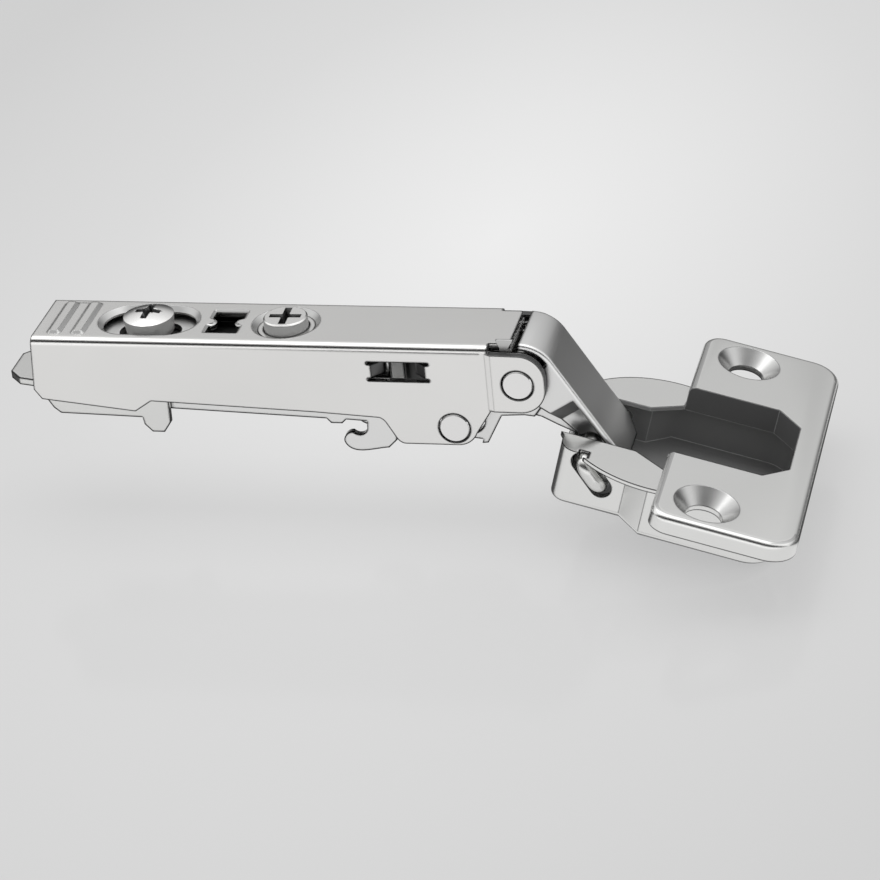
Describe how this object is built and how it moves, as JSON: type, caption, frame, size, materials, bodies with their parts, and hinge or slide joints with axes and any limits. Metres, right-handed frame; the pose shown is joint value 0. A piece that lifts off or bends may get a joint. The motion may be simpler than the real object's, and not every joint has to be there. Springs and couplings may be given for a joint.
{
  "type": "concealed cup hinge",
  "caption": "Concealed cabinet hinge: a clip-on channel arm with adjusting screws, a linkage of folded links and a flanged cup, drawn fully open.",
  "frame": {"origin": "middle of the axis of the front hooks' notch, which clips over the mounting plate's pin", "axes": "+X along the arm towards the cup, +Y along the pivots, +Z away from the cabinet side"},
  "size_m": [0.1284, 0.058, 0.0345],
  "materials": {
    "arm_sheet": "nickel plated, satin",
    "inner_sheet": "nickel plated",
    "links": "nickel plated",
    "cup_sheet": "nickel plated, satin",
    "screws": "nickel plated",
    "pins": "bright steel",
    "spring_steel": "drawn wire and strip"
  },
  "bodies": {
    "carrier": {"carrier": "inner_sheet", "lever_pin": "pins"},
    "depth_screw": {"depth_screw": "screws", "depth_screw_ring": "screws"},
    "slide_plate": {"slide_plate": "inner_sheet"},
    "side_screw": {"side_screw": "screws", "side_screw_clip": "spring_steel"},
    "arm": {"hinge_arm": "arm_sheet", "side_screw_nut": "arm_sheet", "front_rivet": "pins", "lower_rivet": "pins", "front_spacer": "pins", "lower_spacer": "pins", "closing_spring": "spring_steel", "front_bracket": "spring_steel"},
    "outer_link": {"outer_link": "links"},
    "cup": {"hinge_cup": "cup_sheet", "cup_pin": "pins"},
    "inner_link": {"inner_link": "links"},
    "release_lever": {"release_lever": "inner_sheet", "lever_spring": "spring_steel"}
  },
  "joints": [
    {"name": "depth_screw_turn", "type": "hinge", "parent": "carrier", "child": "depth_screw", "pos_m": [-0.0337, 0, 0.0156], "axis": [0, 0, 1], "range_deg": [-151, 151]},
    {"name": "depth_slide", "type": "slide", "parent": "carrier", "child": "slide_plate", "axis": [1, 0, 0], "range_m": [-0.002, 0.002]},
    {"name": "side_screw_turn", "type": "hinge", "parent": "slide_plate", "child": "side_screw", "pos_m": [-0.0113, 0, 0.0156], "axis": [0, 0, -1], "range_deg": [-111, 351]},
    {"name": "arm_tilt", "type": "hinge", "parent": "slide_plate", "child": "arm", "pos_m": [-0.0463, 0, 0.012], "axis": [0, -1, 0], "range_deg": [-0.5, 1.59]},
    {"name": "outer_link_turn", "type": "hinge", "parent": "arm", "child": "outer_link", "pos_m": [0.02668, 0, 0.00944], "axis": [0, 1, 0], "range_deg": [0, 10.2]},
    {"name": "cup_fold", "type": "hinge", "parent": "outer_link", "child": "cup", "pos_m": [0.03923, 0, -0.0054], "axis": [0, -1, 0], "range_deg": [0, 115.5]},
    {"name": "inner_link_turn", "type": "hinge", "parent": "cup", "child": "inner_link", "pos_m": [0.0369, 0, -0.00144], "axis": [0, 1, 0], "range_deg": [0, 132.8]},
    {"name": "lever_turn", "type": "hinge", "parent": "carrier", "child": "release_lever", "pos_m": [-0.0383, 0, 0.0076], "axis": [0, 1, 0], "range_deg": [0, 10], "stiffness_Nm_per_rad": 0.02, "springref_deg": -17.19}
  ],
  "couplings": [
    {"joint": "depth_screw_turn", "follows": "depth_slide", "rad_per_m": 1309},
    {"joint": "side_screw_turn", "follows": "arm_tilt", "ratio": 219.9},
    {"joint": "outer_link_turn", "follows": "cup_fold", "ratio": 0.08772},
    {"joint": "inner_link_turn", "follows": "cup_fold", "ratio": 1.1488}
  ]
}
